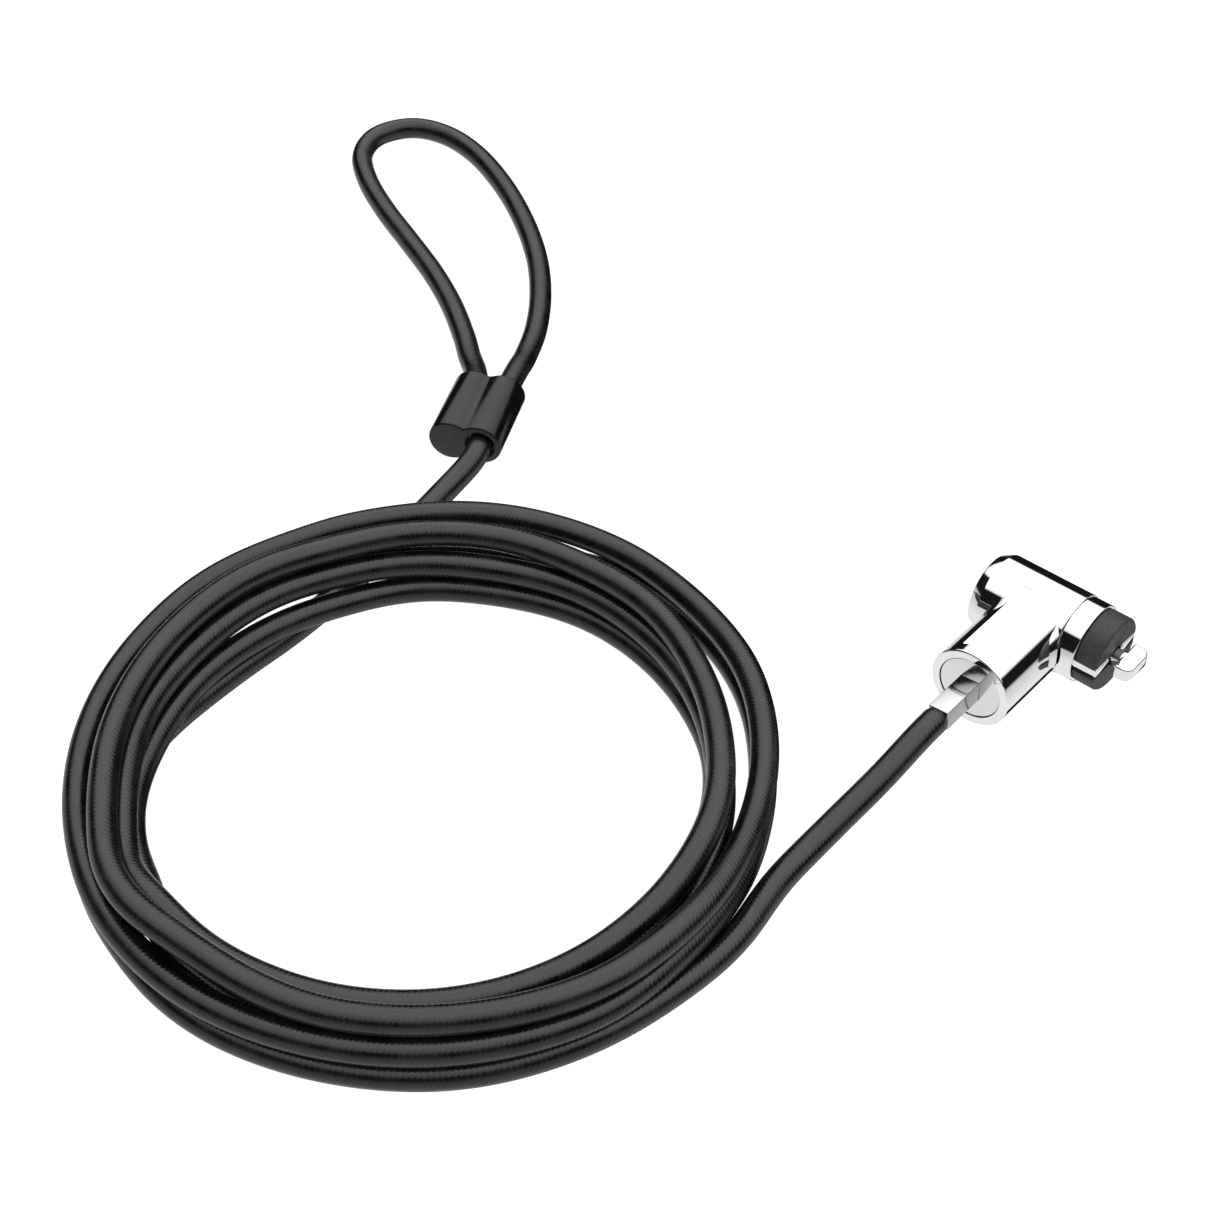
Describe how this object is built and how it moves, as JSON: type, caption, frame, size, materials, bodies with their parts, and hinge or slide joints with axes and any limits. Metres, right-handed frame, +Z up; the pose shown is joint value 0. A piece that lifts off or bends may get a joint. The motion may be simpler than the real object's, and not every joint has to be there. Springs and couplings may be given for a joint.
{
  "type": "laptop cable lock",
  "caption": "T-bar security lock head with a rotating square cable terminal, on a coiled vinyl-jacketed steel cable that ends in a crimped anchor loop.",
  "frame": {"origin": "on the table, at the middle of the lock head's own box (cable, crimp sleeve and loop left out)", "axes": "+X the way the T-bar points, -Y the way the cable leaves the head, +Z up from the table"},
  "size_m": [0.2146, 0.1971, 0.0178],
  "materials": {
    "housing_chrome": "polished mirror chrome plating",
    "disc_chrome": "chrome, a little duller than the housing",
    "bar_chrome": "polished chrome",
    "spindle_chrome": "polished chrome",
    "pad_rubber": "matte dark grey rubber",
    "inner_brass": "turned, unplated",
    "disc_brass": "stamped, unplated",
    "inner_steel": "plain ground steel",
    "cable_jacket": "satin black vinyl over twisted steel strands",
    "crimp_plastic": "gloss black"
  },
  "bodies": {
    "head": {"lock_housing": "housing_chrome", "cylinder_sleeve": "inner_brass", "rear_bezel": "housing_chrome", "spindle_bushing": "inner_brass", "nose_ring": "housing_chrome", "dowel_pin_top": "inner_steel", "dowel_pin_under": "inner_steel", "rubber_pad_upper": "pad_rubber", "rubber_pad_lower": "pad_rubber", "swivel_bush": "inner_brass", "bush_pin": "inner_steel", "cable_lead": "cable_jacket", "cable_coil": "cable_jacket", "cable_tail": "cable_jacket", "cable_loop": "cable_jacket", "crimp_sleeve": "crimp_plastic"},
    "core": {"lock_core": "inner_brass", "t_bar_spindle": "spindle_chrome", "disc_spring": "inner_steel"},
    "sidebar": {"sidebar": "inner_steel"},
    "swivel": {"swivel_disc": "disc_chrome", "cable_terminal": "bar_chrome", "swivel_clip": "inner_steel"},
    "disc_1": {"disc_tumbler_1": "disc_brass"},
    "disc_2": {"disc_tumbler_2": "disc_brass"},
    "disc_3": {"disc_tumbler_3": "disc_brass"},
    "disc_4": {"disc_tumbler_4": "disc_brass"},
    "disc_5": {"disc_tumbler_5": "disc_brass"}
  },
  "joints": [
    {"name": "key_turn", "type": "hinge", "parent": "head", "child": "core", "pos_m": [-0.00355, 0.01145, 0.007], "axis": [1, 0, 0], "range_deg": [0, 90]},
    {"name": "sidebar_slide", "type": "slide", "parent": "core", "child": "sidebar", "axis": [0, 0, 1], "range_m": [-0.0005, 0.0005]},
    {"name": "cable_swivel", "type": "hinge", "parent": "head", "child": "swivel", "pos_m": [-0.00355, -0.01845, 0.007], "axis": [0, 1, 0], "continuous": true},
    {"name": "disc_turn_1", "type": "hinge", "parent": "core", "child": "disc_1", "pos_m": [-0.00355, 0.01145, 0.007], "axis": [1, 0, 0], "range_deg": [0, 72]},
    {"name": "disc_turn_2", "type": "hinge", "parent": "core", "child": "disc_2", "pos_m": [-0.00355, 0.01145, 0.007], "axis": [1, 0, 0], "range_deg": [0, 72]},
    {"name": "disc_turn_3", "type": "hinge", "parent": "core", "child": "disc_3", "pos_m": [-0.00355, 0.01145, 0.007], "axis": [1, 0, 0], "range_deg": [0, 72]},
    {"name": "disc_turn_4", "type": "hinge", "parent": "core", "child": "disc_4", "pos_m": [-0.00355, 0.01145, 0.007], "axis": [1, 0, 0], "range_deg": [0, 72]},
    {"name": "disc_turn_5", "type": "hinge", "parent": "core", "child": "disc_5", "pos_m": [-0.00355, 0.01145, 0.007], "axis": [1, 0, 0], "range_deg": [0, 72]}
  ]
}
